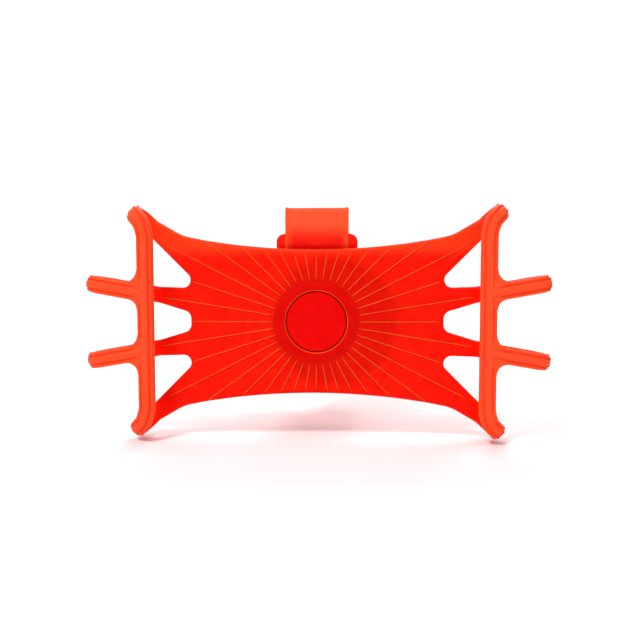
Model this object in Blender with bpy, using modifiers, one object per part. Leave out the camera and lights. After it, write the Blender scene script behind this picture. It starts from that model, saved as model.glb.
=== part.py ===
"""Silicone phone mount for a bicycle handlebar.

Frame: metres, +Z up, +X along the phone.  The phone lies on the -Y side and the handlebar
runs along X through the origin, inside the strap loop on the +Y side.
Flat outlines are written in millimetres in one of two planes:
  the web plane   (x, up) from the swivel axis, thickness along Y;
  the side plane  (back, up) from the web's front face and the swivel axis, extruded along X.
"""
import math

import bmesh
import bpy
from mathutils import Matrix, Vector

MM = 0.001

# Driving dimensions, in millimetres.
OVERALL_LENGTH = 125.0       # tip to tip over the middle finger loops
BAR_AXIS_BACK = 23.0         # handlebar axis behind the web's front face
BAR_AXIS_UP = 4.0            # handlebar axis above the swivel axis
WEB_THICK = 3.0
WEB_HALF_HEIGHT = 19.6       # at the middle of the concave long edge
WEB_EDGE_RISE = 2.4          # rise of the long edge by EDGE_REACH
EDGE_REACH = 29.7
LOOP_WIDTH = 4.4
BAND_THICK = 2.8             # thickness of a finger's band
LOOP_PITCH = 7.8             # centre line to centre line over a loop
MIDDLE_LOOP_LEVEL = 1.4      # middle of a loop in front of the web's front face
CORNER_LOOP_LEVEL = 2.4
RAIL_X = 44.6                # retaining rail centre line
RAIL_WIDTH = 4.5
RAIL_FRONT = 5.8             # rail's middle plane in front of the web's front face
MIDDLE_ANGLE = 10.0          # finger directions, degrees above the long axis
CORNER_ANGLE = 44.0
MIDDLE_ROOT = (40.3, 6.8)
CORNER_TIP = (49.4, 30.1)
CORNER_LENGTH = 8.62
CORNER_FRONT_END = 1.9       # where a corner loop's front band meets the rail, from the root
GAP = 0.3                    # clearance between pieces that meet
FINE_GAP = 0.15              # clearance inside the pivot

BOSS_RADIUS = 10.7
BOSS_HEIGHT = 0.5
CAP_RADIUS = 7.95
CAP_FRONT = 0.7
CAP_BACK = -0.35
RECESS_RADIUS = 8.3
RECESS_FLOOR = 1.9
WEB_HOLE_RADIUS = 5.5
DISH_RADIUS = 15.9
DISH_FRONT = 3.4
DISH_BACK = 8.3
SPINDLE_RADIUS = 3.6
PILOT_RADIUS = 1.35

SADDLE_WIDTH = 22.5
SADDLE_THICK = 2.4
SADDLE_RADIUS = 13.2         # centre line of the saddle's curved part
SADDLE_END_UP = 8.6
ARM_BACK = 4.7               # centre line of the upper arm
ARM_TOP = 24.2
LINER_WIDTH = 21.3
LINER_THICK = 1.45
LINER_TOP = 22.8
LINER_END_UP = 5.5

STRAP_WIDTH = 17.5
STRAP_THICK = 2.2
STRAP_CORNER_UP = 32.2       # top of the strap's corner
STRAP_SLOPE = 20.9           # fall of the slotted run, degrees
STRAP_BEND_RADIUS = 4.4      # centre line of the far bend
STRAP_BEND_START = 39.2      # where the far bend starts, on the strap's outer face
STRAP_BEND_TURN = 78.9
SLOT_LENGTH = 7.0
SLOT_HEIGHT = 2.8
SLOT_PITCH = 7.0
FIRST_SLOT_BACK = 12.1
BEND_SLOT_TURN = 58.0        # the sixth slot, on the far bend
FOLD_DROP = 1.9              # from the end of the far bend to the tail's fold line
TAIL_LENGTH = 9.6            # from the fold line
TAIL_SLOT_DROP = 3.4         # from the fold line to the hooked slot
HOOK_WIDTH = 5.4

SILICONE = (0.90, 0.07, 0.02)
ARC_STEP = 12.0              # degrees a facet
ROUND_STEPS = 48


def clear_scene():
    """Remove every object, and open the two collections."""
    for obj in list(bpy.data.objects):
        bpy.data.objects.remove(obj, do_unlink=True)
    made = []
    for name in ("phone_mount", "cutters"):
        collection = bpy.data.collections.new(name)
        bpy.context.scene.collection.children.link(collection)
        made.append(collection)
    return made


PARTS, CUTTERS = clear_scene()


def make_material(name, colour, roughness, metallic=0.0):
    """One Principled material for one sub-part."""
    material = bpy.data.materials.new(name)
    material.use_nodes = True
    shader = material.node_tree.nodes["Principled BSDF"]
    shader.inputs["Base Color"].default_value = (*colour, 1.0)
    shader.inputs["Roughness"].default_value = roughness
    shader.inputs["Metallic"].default_value = metallic
    material.diffuse_color = (*colour, 1.0)
    return material


def place(back, up, x=0.0):
    """World point of a place given from the web's front face and the swivel axis."""
    return Vector((x, back - BAR_AXIS_BACK, up - BAR_AXIS_UP)) * MM


WEB_PLANE = Matrix.Translation(place(0.0, 0.0)) @ Matrix.Rotation(math.pi / 2.0, 4, "X")
SIDE_PLANE = (
    Matrix.Translation(place(0.0, 0.0))
    @ Matrix.Rotation(math.pi / 2.0, 4, "Z")
    @ Matrix.Rotation(math.pi / 2.0, 4, "X")
)


# Outlines, in millimetres.

def arc(centre, radius, start, end):
    """Points along an arc, in degrees, ends included."""
    count = max(2, math.ceil(abs(end - start) / ARC_STEP))
    points = []
    for i in range(count + 1):
        angle = math.radians(start + (end - start) * i / count)
        points.append((centre[0] + radius * math.cos(angle), centre[1] + radius * math.sin(angle)))
    return points


def fillet(corners):
    """A path through (x, y, radius) corners, with each corner rounded."""
    points = []
    last = len(corners) - 1
    for i, (x, y, radius) in enumerate(corners):
        if radius == 0.0 or i in (0, last):
            points.append((x, y))
            continue
        here = Vector((x, y))
        before = (Vector(corners[i - 1][:2]) - here).normalized()
        after = (Vector(corners[i + 1][:2]) - here).normalized()
        half = before.angle(after) / 2.0
        centre = here + (before + after).normalized() * (radius / math.sin(half))
        first = here + before * (radius / math.tan(half)) - centre
        second = here + after * (radius / math.tan(half)) - centre
        start = math.degrees(math.atan2(first.y, first.x))
        turn = math.degrees(math.atan2(first.cross(second), first.dot(second)))
        points.extend(arc(centre, radius, start, start + turn))
    return points


def offset(path, distance):
    """The path moved sideways, to the left of its direction."""
    moved = []
    for i, point in enumerate(path):
        here = Vector(point)
        directions = []
        if i > 0:
            directions.append((here - Vector(path[i - 1])).normalized())
        if i < len(path) - 1:
            directions.append((Vector(path[i + 1]) - here).normalized())
        along = sum(directions, Vector((0.0, 0.0))).normalized()
        normal = Vector((-along.y, along.x))
        stretch = 1.0 / max(0.3, along.dot(directions[0]))
        moved.append(tuple(here + normal * (distance * stretch)))
    return moved


def ribbon(path, thickness):
    """The closed outline of a band of one thickness along a path."""
    return offset(path, thickness / 2.0) + offset(path, -thickness / 2.0)[::-1]


def mirror_outline(points, flip_x=False, flip_y=False):
    """The same points seen in a mirror, in reverse order."""
    return [(-x if flip_x else x, -y if flip_y else y) for x, y in points][::-1]


# Solids.

def link(obj, material, parent=None, collection=None):
    """Put an object in its collection, with its material and its parent."""
    (collection or PARTS).objects.link(obj)
    if material:
        obj.data.materials.clear()
        obj.data.materials.append(material)
    if parent:
        obj.parent = parent
        obj.matrix_parent_inverse = parent.matrix_world.inverted()
    return obj


def plate(name, outline, thickness, matrix, material=None, parent=None, collection=None):
    """A flat outline in millimetres, extruded equally to both sides of its plane."""
    curve = bpy.data.curves.new(name + "_outline", "CURVE")
    curve.dimensions = "2D"
    curve.fill_mode = "BOTH"
    curve.extrude = thickness * MM / 2.0
    spline = curve.splines.new("POLY")
    spline.points.add(len(outline) - 1)
    for point, (x, y) in zip(spline.points, outline):
        point.co = (x * MM, y * MM, 0.0, 1.0)
    spline.use_cyclic_u = True
    guide = bpy.data.objects.new(name + "_outline", curve)
    CUTTERS.objects.link(guide)
    evaluated = guide.evaluated_get(bpy.context.evaluated_depsgraph_get())
    mesh = bpy.data.meshes.new_from_object(evaluated)
    bpy.data.objects.remove(guide)
    shape = bmesh.new()
    shape.from_mesh(mesh)
    bmesh.ops.remove_doubles(shape, verts=shape.verts, dist=1e-6)
    bmesh.ops.recalc_face_normals(shape, faces=shape.faces)
    shape.to_mesh(mesh)
    shape.free()
    mesh.name = name
    obj = bpy.data.objects.new(name, mesh)
    obj.matrix_world = matrix
    bpy.context.view_layer.update()
    return link(obj, material, parent, collection)


def turned(name, profile, material=None, parent=None, closed=False, collection=None):
    """A solid turned about the swivel axis from (radius, forward) points, outer side first."""
    mesh = bpy.data.meshes.new(name)
    shape = bmesh.new()
    verts = [shape.verts.new((r * MM, 0.0, forward * MM)) for r, forward in profile]
    pairs = list(zip(verts, verts[1:]))
    if closed:
        pairs.append((verts[-1], verts[0]))
    for first, second in pairs:
        shape.edges.new((first, second))
    shape.to_mesh(mesh)
    shape.free()
    obj = bpy.data.objects.new(name, mesh)
    obj.matrix_world = WEB_PLANE
    screw = obj.modifiers.new("turn", "SCREW")
    screw.steps = ROUND_STEPS
    screw.render_steps = ROUND_STEPS
    screw.use_merge_vertices = True
    screw.merge_threshold = 1e-5
    bpy.context.view_layer.update()
    return link(obj, material, parent, collection)


def boolean(obj, tool, operation):
    """Join a tool to an object or cut it away, and hide the tool."""
    tool.hide_render = True
    tool.display_type = "WIRE"
    modifier = obj.modifiers.new(tool.name, "BOOLEAN")
    modifier.operation = operation
    modifier.object = tool
    modifier.solver = "EXACT"


def smooth(obj, angle=35.0):
    """Shade the round faces smooth and keep the edges sharp."""
    obj.data.shade_smooth()
    obj.data.set_sharp_from_angle(angle=math.radians(angle))


def axis_empty(name, location):
    """An empty that stands on a joint's axis."""
    empty = bpy.data.objects.new(name, None)
    empty.location = location
    empty.empty_display_size = 0.01
    PARTS.objects.link(empty)
    bpy.context.view_layer.update()
    return empty


# The cradle: web, finger loops and rails.

def web_edge(x):
    """Half height of the web at x along its concave long edge."""
    return WEB_HALF_HEIGHT + WEB_EDGE_RISE * (x / EDGE_REACH) ** 2


def web_quarter():
    """One quarter of the web, from the top edge's middle to the middle notch."""
    along = Vector((math.cos(math.radians(CORNER_ANGLE)), math.sin(math.radians(CORNER_ANGLE))))
    across = Vector((-along.y, along.x))
    root = Vector(CORNER_TIP) - along * (CORNER_LENGTH + GAP)
    outer = root + across * (LOOP_WIDTH / 2.0 + 0.5)
    inner = root - across * (LOOP_WIDTH / 2.0)
    edge = [(x, web_edge(x)) for x in (0.0, 7.5, 15.0, 22.5)]
    corner = fillet([(EDGE_REACH, web_edge(EDGE_REACH), 0), (36.4, 23.3, 12.0), (outer.x, outer.y, 0)])
    notch = fillet([
        (inner.x, inner.y, 0),
        (31.4, 9.1, 2.05),
        (MIDDLE_ROOT[0] - 2.2 * GAP, 9.4, 0),
        (MIDDLE_ROOT[0] - 2.2 * GAP, 4.1, 0),
        (34.4, 2.4, 2.2),
        (34.4, 0.0, 0),
    ])
    return edge + corner + notch[:-1]


def build_web(material, parent):
    """The bow-tie web with its notches, raised boss and stepped centre hole."""
    quarter = web_quarter()
    right = quarter + mirror_outline(quarter, flip_y=True)
    outline = right[:-1] + mirror_outline(right, flip_x=True)[:-1]
    middle = WEB_PLANE @ Matrix.Translation((0.0, 0.0, -WEB_THICK * MM / 2.0))
    web = plate("cradle_web", outline, WEB_THICK, middle, material, parent)
    boss = turned("boss_ring", [(0, BOSS_HEIGHT), (BOSS_RADIUS, BOSS_HEIGHT), (BOSS_RADIUS, -1.5), (0, -1.5)],
                  collection=CUTTERS)
    recess = turned("cap_recess", [(0, 3), (RECESS_RADIUS, 3), (RECESS_RADIUS, -RECESS_FLOOR),
                                   (0, -RECESS_FLOOR)], collection=CUTTERS)
    hole = turned("bush_hole", [(0, 4), (WEB_HOLE_RADIUS, 4), (WEB_HOLE_RADIUS, -5), (0, -5)],
                  collection=CUTTERS)
    boolean(web, boss, "UNION")
    boolean(web, recess, "DIFFERENCE")
    boolean(web, hole, "DIFFERENCE")


def finger_frame(root, angle):
    """A loop's own plane: x outward along the finger, y to the front, z across the finger."""
    along = Vector((math.cos(angle), 0.0, math.sin(angle)))
    front = Vector((0.0, -1.0, 0.0))
    across = along.cross(front)
    matrix = Matrix((along, front, across)).transposed().to_4x4()
    return Matrix.Translation(place(0.0, root[1], root[0])) @ matrix


def loop_path(length, level, front_end, front_level):
    """Centre line of one loop: out along the rear band, round the tip, back along the front band."""
    turn_radius = LOOP_PITCH / 2.0
    turn_at = length - turn_radius - BAND_THICK / 2.0
    path = [(0.0, -WEB_THICK / 2.0)]
    path.extend(arc((turn_at, level), turn_radius, -90.0, 90.0))
    path.append((front_end, front_level))
    return path


def build_loop(name, root, angle, path, material, parent):
    """One finger loop, from its band's centre line."""
    plate(name, ribbon(path, BAND_THICK), LOOP_WIDTH, finger_frame(root, angle), material, parent)


def build_end(side, label, material, parent):
    """The four finger loops and the rail at one end."""
    middle = math.radians(MIDDLE_ANGLE)
    corner = math.radians(CORNER_ANGLE)
    tip_x = OVERALL_LENGTH / 2.0 - LOOP_WIDTH / 2.0 * math.sin(middle)
    middle_length = (tip_x - MIDDLE_ROOT[0]) / math.cos(middle)
    rail_face = RAIL_X + RAIL_WIDTH / 2.0
    middle_end = (rail_face + 2.2 * GAP - MIDDLE_ROOT[0]) / math.cos(middle)
    middle_path = loop_path(middle_length, MIDDLE_LOOP_LEVEL, middle_end, RAIL_FRONT)
    corner_front = CORNER_LOOP_LEVEL + LOOP_PITCH / 2.0
    corner_path = loop_path(CORNER_LENGTH, CORNER_LOOP_LEVEL, CORNER_FRONT_END, corner_front)
    corner_root = (
        CORNER_TIP[0] - CORNER_LENGTH * math.cos(corner),
        CORNER_TIP[1] - CORNER_LENGTH * math.sin(corner),
    )
    for level, up in (("upper", 1), ("lower", -1)):
        for kind, root, lean, path in (
            ("corner", corner_root, corner, corner_path),
            ("middle", MIDDLE_ROOT, middle, middle_path),
        ):
            angle = math.atan2(up * math.sin(lean), side * math.cos(lean))
            here = (side * root[0], up * root[1])
            build_loop(f"{label}_{level}_{kind}_loop", here, angle, path, material, parent)
    inner = RAIL_X - RAIL_WIDTH / 2.0
    half = [(rail_face, 0.0), (rail_face, 22.6), (43.3, 25.9), (inner, 24.9), (inner, 0.0)]
    outline = half[1:-1] + mirror_outline(half[1:-1], flip_y=True)
    if side < 0:
        outline = mirror_outline(outline, flip_x=True)
    level = WEB_PLANE @ Matrix.Translation((0.0, 0.0, RAIL_FRONT * MM))
    plate(f"{label}_retaining_rail", outline, BAND_THICK, level, material, parent)


# The swivel.

def build_swivel(silicone, plastic, steel, parent):
    """Cap, spindle, bush, coned spring washer, dish, screw and washer on the swivel axis."""
    turned("swivel_cap", [
        (0, CAP_FRONT), (6.9, CAP_FRONT), (7.6, CAP_FRONT - 0.25), (CAP_RADIUS, CAP_FRONT - 0.7),
        (CAP_RADIUS, CAP_BACK), (0, CAP_BACK),
    ], silicone, parent)
    head = CAP_BACK - 0.25
    turned("swivel_spindle", [
        (0, head), (7.0, head), (7.0, head - 1.0), (SPINDLE_RADIUS, head - 1.0),
        (SPINDLE_RADIUS, -8.4), (PILOT_RADIUS, -8.4), (PILOT_RADIUS, -3.6), (0, -3.3),
    ], plastic, parent)
    turned("pivot_bush", [
        (5.25, -1.95), (5.25, -3.3), (6.9, -3.3), (6.9, -4.0), (3.85, -4.0), (3.85, -1.95),
    ], plastic, parent, closed=True)
    turned("spring_washer", [(6.8, -4.45), (6.8, -4.85), (4.1, -5.0), (4.1, -4.6)],
           steel, parent, closed=True)
    turned("turntable_dish", [
        (14.9, -DISH_FRONT), (15.5, -3.8), (DISH_RADIUS, -4.6), (DISH_RADIUS, -7.6),
        (15.4, -DISH_BACK), (3.85, -DISH_BACK), (3.85, -5.3), (7.3, -5.3), (7.3, -DISH_FRONT),
    ], silicone, parent, closed=True)
    turned("screw_washer", [(4.0, -9.45), (4.0, -9.75), (1.75, -9.75), (1.75, -9.45)],
           steel, parent, closed=True)
    screw = turned("clamp_screw", [
        (0, -3.9), (1.0, -4.2), (1.2, -4.6), (1.2, -9.9), (3.0, -9.9), (3.0, -10.3), (2.4, -10.85),
        (0, -10.85),
    ], steel, parent)
    for i in range(2):
        bpy.ops.mesh.primitive_cube_add(size=1.0)
        blade = bpy.context.object
        blade.name = f"driver_blade_{i}"
        blade.dimensions = (3.2 * MM, 0.7 * MM, 1.2 * MM)
        for collection in list(blade.users_collection):
            collection.objects.unlink(blade)
        CUTTERS.objects.link(blade)
        bpy.context.view_layer.update()
        blade.matrix_world = (
            Matrix.Translation(place(10.85, 0.0))
            @ Matrix.Rotation(math.pi / 2.0, 4, "X")
            @ Matrix.Rotation(i * math.pi / 2.0, 4, "Z")
            @ Matrix.Diagonal((3.2 * MM, 0.7 * MM, 1.2 * MM, 1.0))
        )
        boolean(screw, blade, "DIFFERENCE")


# The handlebar saddle, its liner and the strap, in the side plane.

def saddle_path():
    """Centre line of the saddle: upper arm, step over the dish, pad, and the round under the bar."""
    pad = BAR_AXIS_BACK - SADDLE_RADIUS
    path = fillet([
        (ARM_BACK, ARM_TOP, 0),
        (ARM_BACK, 20.3, 3.6),
        (pad, 16.9, 2.6),
        (pad, BAR_AXIS_UP, 0),
    ])[:-1]
    path.extend(arc((BAR_AXIS_BACK, BAR_AXIS_UP), SADDLE_RADIUS, 180.0, 360.0))
    path.append((BAR_AXIS_BACK + SADDLE_RADIUS, SADDLE_END_UP))
    return path


def build_saddle(material, parent):
    """The saddle with its post and screw hole, and the hook at its far end."""
    saddle = plate("handlebar_saddle", ribbon(saddle_path(), SADDLE_THICK), SADDLE_WIDTH,
                   SIDE_PLANE, material, parent)
    root = BAR_AXIS_BACK + SADDLE_RADIUS
    hook = plate("strap_hook", [
        (root, 8.05), (42.9, 8.05), (43.7, 7.5), (43.1, 6.55), (42.4, 6.55), (42.1, 6.75), (root, 6.75),
    ], HOOK_WIDTH, SIDE_PLANE, collection=CUTTERS)
    post = turned("saddle_post", [(0, -8.6), (7.5, -8.6), (7.5, -10.9), (0, -10.9)], collection=CUTTERS)
    hole = turned("screw_hole", [(0, -8), (1.9, -8), (1.9, -12), (0, -12)], collection=CUTTERS)
    pocket = turned("screw_pocket", [(0, -9.3), (4.4, -9.3), (4.4, -16), (0, -16)], collection=CUTTERS)
    boolean(saddle, hook, "UNION")
    boolean(saddle, post, "UNION")
    boolean(saddle, hole, "DIFFERENCE")
    boolean(saddle, pocket, "DIFFERENCE")


def build_liner(material, parent):
    """The soft liner that lies inside the saddle."""
    inward = SADDLE_THICK / 2.0 + FINE_GAP + LINER_THICK / 2.0
    inner = offset(saddle_path(), inward)
    body = [(back, up) for back, up in inner[1:-1]]
    path = [(inner[0][0], LINER_TOP)] + body + [(inner[-1][0], LINER_END_UP)]
    plate("saddle_liner", ribbon(path, LINER_THICK), LINER_WIDTH, SIDE_PLANE, material, parent)


def strap_bend_centre():
    """Centre of the strap's far bend."""
    slope = math.radians(STRAP_SLOPE)
    outer = ARM_BACK - SADDLE_THICK / 2.0
    up = STRAP_CORNER_UP - (STRAP_BEND_START - outer) * math.tan(slope)
    reach = STRAP_BEND_RADIUS + STRAP_THICK / 2.0
    return Vector((STRAP_BEND_START - reach * math.sin(slope), up - reach * math.cos(slope)))


def bend_point(turn, radius=STRAP_BEND_RADIUS):
    """A point on the far bend after a turn in degrees, with the outward direction there."""
    angle = math.radians(90.0 - STRAP_SLOPE - turn)
    outward = Vector((math.cos(angle), math.sin(angle)))
    return strap_bend_centre() + outward * radius, outward


def fold_line():
    """The tail's fold line, with the outward and downward directions there."""
    end, outward = bend_point(STRAP_BEND_TURN)
    down = Vector((outward.y, -outward.x))
    return end + down * FOLD_DROP, outward, down


def slot_cutter(name, centre, outward):
    """A stadium-shaped cutter through the strap, its long side along X."""
    half = (SLOT_LENGTH - SLOT_HEIGHT) / 2.0
    radius = SLOT_HEIGHT / 2.0
    outline = arc((half, 0.0), radius, -90.0, 90.0) + arc((-half, 0.0), radius, 90.0, 270.0)
    normal = Vector((0.0, outward.x, outward.y))
    across = Vector((1.0, 0.0, 0.0))
    along = normal.cross(across)
    matrix = Matrix((across, along, normal)).transposed().to_4x4()
    matrix = Matrix.Translation(place(centre.x, centre.y)) @ matrix
    return plate(name, outline, STRAP_THICK * 2.5, matrix, collection=CUTTERS)


def build_strap(material, parent, tail_parent):
    """The slotted strap run and its hinged tail, which ends in a round tip."""
    slope = math.radians(STRAP_SLOPE)
    level = ARM_BACK - SADDLE_THICK / 2.0 + STRAP_THICK / 2.0
    corner_up = STRAP_CORNER_UP - STRAP_THICK / 2.0 * (math.tan(slope) + 1.0 / math.cos(slope))
    centre = strap_bend_centre()
    fold, outward, down = fold_line()
    first = 90.0 - STRAP_SLOPE
    path = [(level, ARM_TOP + GAP), (level, corner_up)]
    path.extend(arc(centre, STRAP_BEND_RADIUS, first, first - STRAP_BEND_TURN))
    path.append(tuple(fold - down * (STRAP_THICK / 2.0 + GAP)))
    band = plate("strap_band", ribbon(path, STRAP_THICK), STRAP_WIDTH, SIDE_PLANE, material, parent)

    outer = ARM_BACK - SADDLE_THICK / 2.0
    run_normal = Vector((math.sin(slope), math.cos(slope)))
    for i in range(5):
        back = FIRST_SLOT_BACK + i * SLOT_PITCH * math.cos(slope)
        surface = Vector((back, STRAP_CORNER_UP - (back - outer) * math.tan(slope)))
        middle = surface - run_normal * (STRAP_THICK / 2.0)
        boolean(band, slot_cutter(f"strap_slot_{i}", middle, run_normal), "DIFFERENCE")
    bend_slot, bend_outward = bend_point(BEND_SLOT_TURN)
    boolean(band, slot_cutter("strap_slot_5", bend_slot, bend_outward), "DIFFERENCE")

    half = STRAP_THICK / 2.0
    turn = math.degrees(math.atan2(outward.y, outward.x))
    tip = fold + down * (TAIL_LENGTH - half)
    outline = arc(tip, half, turn - 180.0, turn) + arc(fold, half, turn, turn + 180.0)
    tail = plate("strap_tail", outline, STRAP_WIDTH, SIDE_PLANE, material, tail_parent)
    hooked = fold + down * TAIL_SLOT_DROP
    boolean(tail, slot_cutter("strap_slot_6", hooked, outward), "DIFFERENCE")


def build():
    """Make the whole mount."""
    silicone = make_material("red_silicone", SILICONE, 0.5)
    cap_red = make_material("cap_silicone", (0.85, 0.0, 0.0), 0.4)
    plastic = make_material("swivel_plastic", (0.7, 0.03, 0.02), 0.35)
    steel = make_material("zinc_steel", (0.62, 0.62, 0.64), 0.3, 1.0)
    fold = fold_line()[0]
    swivel = axis_empty("swivel_axis", place(0.0, 0.0))
    left = axis_empty("left_stretch_axis", place(0.0, 0.0, -RAIL_X))
    right = axis_empty("right_stretch_axis", place(0.0, 0.0, RAIL_X))
    tail = axis_empty("strap_fold_axis", place(fold.x, fold.y))
    build_web(silicone, swivel)
    build_end(-1, "left", silicone, left)
    build_end(1, "right", silicone, right)
    build_swivel(cap_red, plastic, steel, None)
    build_saddle(silicone, None)
    build_liner(silicone, None)
    build_strap(silicone, None, tail)
    for obj in PARTS.objects:
        if obj.type == "MESH":
            smooth(obj)


build()
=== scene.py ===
"""Looks of the silicone phone mount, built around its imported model.

Shapes are made in millimetres as (x, back, up): x along the phone, back from the web's front face
towards the handlebar, up from the swivel axis.  finish_piece() brings a finished mesh into the
frame, in metres.
"""
import math

import bmesh
import bpy
import numpy as np
from mathutils import Matrix, Vector


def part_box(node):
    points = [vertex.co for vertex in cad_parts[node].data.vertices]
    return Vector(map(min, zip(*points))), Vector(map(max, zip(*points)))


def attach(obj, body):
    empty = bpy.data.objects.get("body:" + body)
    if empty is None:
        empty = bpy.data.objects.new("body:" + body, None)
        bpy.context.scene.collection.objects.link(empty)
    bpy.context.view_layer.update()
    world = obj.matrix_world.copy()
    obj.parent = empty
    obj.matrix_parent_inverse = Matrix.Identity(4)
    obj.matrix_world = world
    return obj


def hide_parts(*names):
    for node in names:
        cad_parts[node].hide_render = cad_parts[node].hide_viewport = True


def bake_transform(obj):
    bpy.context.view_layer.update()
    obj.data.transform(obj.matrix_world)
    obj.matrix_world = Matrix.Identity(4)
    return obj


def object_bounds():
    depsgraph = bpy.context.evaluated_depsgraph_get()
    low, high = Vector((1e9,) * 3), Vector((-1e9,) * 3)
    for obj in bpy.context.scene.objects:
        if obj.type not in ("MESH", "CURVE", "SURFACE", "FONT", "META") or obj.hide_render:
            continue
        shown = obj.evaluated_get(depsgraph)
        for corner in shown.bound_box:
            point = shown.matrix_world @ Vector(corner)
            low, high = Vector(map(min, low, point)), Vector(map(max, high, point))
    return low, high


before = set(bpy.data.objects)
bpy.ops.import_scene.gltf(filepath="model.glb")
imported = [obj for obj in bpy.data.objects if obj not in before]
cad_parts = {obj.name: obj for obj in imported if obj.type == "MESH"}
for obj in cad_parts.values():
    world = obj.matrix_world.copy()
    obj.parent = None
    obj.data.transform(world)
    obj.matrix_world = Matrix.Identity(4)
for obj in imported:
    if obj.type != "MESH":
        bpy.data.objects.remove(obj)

cad_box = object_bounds()
MM = 0.001

# Driving dimensions, in millimetres and degrees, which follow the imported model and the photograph.
WEB_THICK = 3.0
LOOP_WIDTH = 4.4
BAND_THICK = 2.8
TURN_RADIUS = 3.9            # centre line of a loop's round end
RAIL_FRONT = 5.8             # middle of the rail in front of the web's front face
MIDDLE_LOOP_LEVEL = 1.4      # middle of a loop in front of the web's front face
CORNER_LOOP_LEVEL = 2.4
MIDDLE_ANGLE = 10.0
CORNER_ANGLE = 44.0
MIDDLE_ROOT = Vector((40.3, 6.8))
CORNER_TIP = Vector((49.4, 30.1))
CORNER_LENGTH = 8.62
FLASH_REACH = 0.3            # how far the torn flash stands past a finger's end
TIP_CORNER = 1.7             # corner radius of a finger's end, seen from the front
CORNER_FILLET = 3.4          # radii of the fillets between the fingers and the rail
MIDDLE_FILLETS = ((1, 3.0), (-1, 2.6))
FILL_INSET = 1.2             # how far a fillet plate goes into the bands beside it
WEB_EDGE = 1.25              # radius of the web's round edges
WEB_WAIST = 19.6             # half height of the web at its middle
WEB_FLARE = 2.4              # how much higher it is where the concave part of its long edge ends
FLARE_END = 29.7
HUB_HOLE = 9.0               # radius of the hole in the web halves, which the hub ring fills
SEAM_OVERLAP = 1.5           # how far a web half is made past the middle before it is cut there
HUB_BORE = 8.3
HUB_HEIGHT = 0.42            # how far the hub stands out in front of the web
HUB_FOOT = 11.3              # radius where the hub meets the web
RAY_START = 11.6
RAY_PITCH = 9.0              # degrees between the raised rays
LONGEST_RAY = 45.0
CAP_RADIUS = 8.0
BAR = Vector((23.0, 4.0))    # handlebar axis, (back, up)
SADDLE_THICK = 2.4
SADDLE_RADIUS = 13.2         # middle of the saddle's round under the bar
ARM_BACK = 4.7               # middle of the saddle's upper arm behind the web's front face
ARM_TOP = 24.2
STEP_TOP = 20.3              # the arm steps back to the pad between these two heights
STEP_FOOT = 16.9
STEP_TOP_RADIUS = 3.6
STEP_FOOT_RADIUS = 2.6
POST_BACK = 8.6              # front of the saddle's round post, just behind the dish
POST_RADIUS = 7.3
SCREW_HOLE_RADIUS = 1.9
POCKET_BACK = 9.3            # floor of the screw's pocket
POCKET_RADIUS = 4.4
HOOK_WIDTH = 5.3
GUSSET_WIDTH = 8.4
LINER_THICK = 1.45
LINER_GAP = 0.15             # between the liner and the saddle
BEAD_RADIUS = 0.52
BEAD_PITCH = 1.75
BEAD_ROW = 8.5               # from the middle of the liner to a row of beads
STRAP_THICK = 2.2
STRAP_SLOPE = 20.9
STRAP_CORNER_UP = 32.2       # the outer corner at the top of the strap's front
STRAP_BEND_START = 39.2      # where the strap's outer face starts its far bend
STRAP_BEND_RADIUS = 4.4
STRAP_BEND_TURN = 78.9
FOLD_DROP = 1.9              # from the end of the far bend to the fold line
TAIL_LENGTH = 9.6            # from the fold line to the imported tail's end
TAIL_INSET = 0.2             # how much shorter the visual tail is
SLOT_LENGTH = 7.0
SLOT_HEIGHT = 2.8
SLOT_PITCH = 7.0
FLAT_SLOTS = 5               # slots between the corner and the far bend
FIRST_SLOT_BACK = 12.1       # of the slot nearest to the corner
BEND_SLOT_TURN = 58.0        # of the slot in the far bend
TAIL_SLOT_DROP = 3.4         # from the fold line to the middle of the last slot
SLOT_RIM = 0.9               # how much longer and higher the middle of a slot's rim is than the slot

# Each moulding's voxel size in millimetres, rounds of softening and share of its triangles that are kept.
CRADLE_MOULD = (0.19, 3, 0.35)
SADDLE_MOULD = (0.22, 3, 0.35)
LINER_MOULD = (0.2, 2, 0.4)
STRAP_MOULD = (0.2, 2, 0.4)

cap_low, cap_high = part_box("swivel_cap")
web_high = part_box("cradle_web")[1]
rail_low, rail_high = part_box("right_retaining_rail")
saddle_low, saddle_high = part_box("handlebar_saddle")
strap_low, strap_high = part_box("strap_band")
liner_low, liner_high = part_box("saddle_liner")
AXIS = (cap_low + cap_high) / 2.0
WEB_FRONT = web_high.y - WEB_THICK * MM
TO_FRAME = Matrix.Translation((AXIS.x, WEB_FRONT, AXIS.z)) @ Matrix.Scale(MM, 4)
RAIL_X = (rail_low.x + rail_high.x) / 2.0 / MM
HALF_LENGTH = cad_box[1].x / MM
SADDLE_WIDTH = (saddle_high.x - saddle_low.x) / MM
STRAP_WIDTH = (strap_high.x - strap_low.x) / MM
LINER_WIDTH = (liner_high.x - liner_low.x) / MM

MIDDLE_TIP_X = HALF_LENGTH - LOOP_WIDTH / 2.0 * math.sin(math.radians(MIDDLE_ANGLE))
MIDDLE_LENGTH = (MIDDLE_TIP_X - MIDDLE_ROOT.x) / math.cos(math.radians(MIDDLE_ANGLE))


# Outlines.

def heading(degrees):
    """Unit vector at an angle above the first axis."""
    return Vector((math.cos(math.radians(degrees)), math.sin(math.radians(degrees))))


def arc(centre, radius, start, end, step=6.0):
    """Points along an arc, in degrees, ends included."""
    count = max(2, math.ceil(abs(end - start) / step))
    turns = [start + (end - start) * i / count for i in range(count + 1)]
    return [tuple(Vector(centre) + heading(turn) * radius) for turn in turns]


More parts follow.
